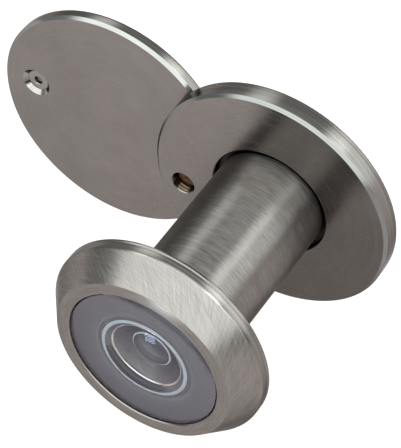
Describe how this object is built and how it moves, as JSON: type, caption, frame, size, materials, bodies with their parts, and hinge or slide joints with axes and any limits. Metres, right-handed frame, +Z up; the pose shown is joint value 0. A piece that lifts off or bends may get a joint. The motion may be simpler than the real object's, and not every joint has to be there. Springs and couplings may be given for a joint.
{
  "type": "door viewer",
  "caption": "Door viewer: wide-angle lens in a flanged barrel, a screw-in eyepiece sleeve, and a round rosette with a swinging cover disc.",
  "frame": {"origin": "on the barrel's axis, in the plane of the outer head's back face, which rests on the door's outside", "axes": "+Y along the barrel from the outer head to the room, +Z up, +X to the right when looking along +Y"},
  "size_m": [0.0552, 0.0373, 0.0325],
  "materials": {
    "nickel": "brushed satin nickel plating on brass",
    "glass": "polished optical glass",
    "black_anodised": "matt black anodised",
    "black_rubber": "matt",
    "brass": "plain turned brass",
    "nylon": "matt",
    "spring_steel": "plain spring steel",
    "screw_steel": "dark zinc plated"
  },
  "bodies": {
    "head": {"outer_body": "nickel", "objective_lens": "glass", "lens_gasket": "black_rubber", "front_spacer": "black_anodised", "second_lens": "glass", "middle_spacer": "black_anodised", "third_lens": "glass", "lens_retaining_ring": "black_anodised"},
    "rosette": {"rosette": "nickel", "pivot_screw": "brass", "thrust_washer": "nylon", "wave_washer": "spring_steel"},
    "sleeve": {"inner_sleeve": "nickel", "light_stop": "black_anodised", "field_lens": "glass", "eyepiece_spacer": "black_anodised", "eyepiece_lens": "glass", "eyepiece_ring": "nickel"},
    "cover": {"cover_disc": "nickel", "knob_screw": "screw_steel", "cover_knob": "nickel"}
  },
  "joints": [
    {"name": "rosette_travel", "type": "slide", "parent": "head", "child": "rosette", "axis": [0, 1, 0], "range_m": [0, 0.0161]},
    {"name": "sleeve_turn", "type": "hinge", "parent": "rosette", "child": "sleeve", "pos_m": [0, 0, 0], "axis": [0, 1, 0], "range_deg": [0, 5760]},
    {"name": "cover_swing", "type": "hinge", "parent": "rosette", "child": "cover", "pos_m": [-0.01181, 0.0273, -0.00308], "axis": [0, 1, 0], "continuous": true}
  ],
  "couplings": [
    {"joint": "rosette_travel", "follows": "sleeve_turn", "m_per_rad": 0.00015915}
  ]
}
